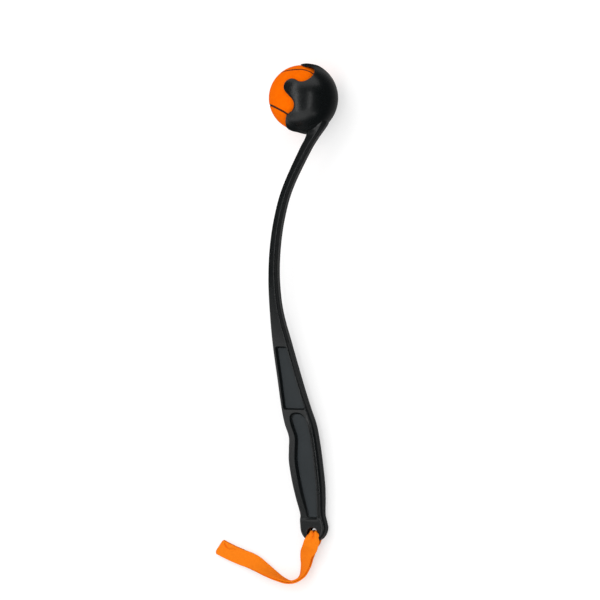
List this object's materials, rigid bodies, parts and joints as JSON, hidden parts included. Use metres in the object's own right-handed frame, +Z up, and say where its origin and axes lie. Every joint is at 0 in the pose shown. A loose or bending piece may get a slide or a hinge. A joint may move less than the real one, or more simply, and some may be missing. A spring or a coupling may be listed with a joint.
{
  "type": "dog ball launcher stick",
  "caption": "Handheld ball launcher: clawed spherical cup on a bowed plastic shaft, shaped handle with side panels, webbing wrist strap, and a felt fetch ball seated in the cup.",
  "frame": {"origin": "on the floor under the centre of the cup, with the launcher lying on its side", "axes": "+Y along the stick towards the cup, +X to the back of the stick away from the cup's mouth, +Z up, which is the launcher's left side"},
  "size_m": [0.1321, 0.5141, 0.0717],
  "materials": {
    "moulded_plastic": "satin black moulded plastic with a fine grain",
    "plate_plastic": "plain dark grey moulded plate",
    "soft_grip": "soft dark grey grip rubber",
    "pin_steel": "plain cross pin",
    "webbing": "flat woven orange webbing",
    "thread": "sewing thread",
    "core_rubber": "moulded core rubber",
    "felt": "short orange felt",
    "seam_rubber": "dark glued seam"
  },
  "bodies": {
    "launcher": {"cup": "moulded_plastic", "shaft": "moulded_plastic", "handle_left": "moulded_plastic", "handle_right": "moulded_plastic", "tang_pins": "pin_steel", "grip_inlay_left": "soft_grip", "grip_inlay_right": "soft_grip", "label_plate_left": "plate_plastic", "label_plate_right": "plate_plastic"},
    "ball": {"ball_core_front": "core_rubber", "ball_core_rear": "core_rubber", "ball_felt_a": "felt", "ball_felt_b": "felt", "ball_seam": "seam_rubber"},
    "strap": {"wrist_strap": "webbing", "strap_stitching": "thread"}
  },
  "joints": [
    {"name": "ball_release", "type": "slide", "parent": "launcher", "child": "ball", "axis": [-0.9781, 0.2075, 0.013], "range_m": [0, 0.075]},
    {"name": "strap_swing", "type": "hinge", "parent": "launcher", "child": "strap", "pos_m": [0.0141, -0.42766, 0.00895], "axis": [0, -0.0625, 0.998], "range_deg": [-60, 90]}
  ]
}
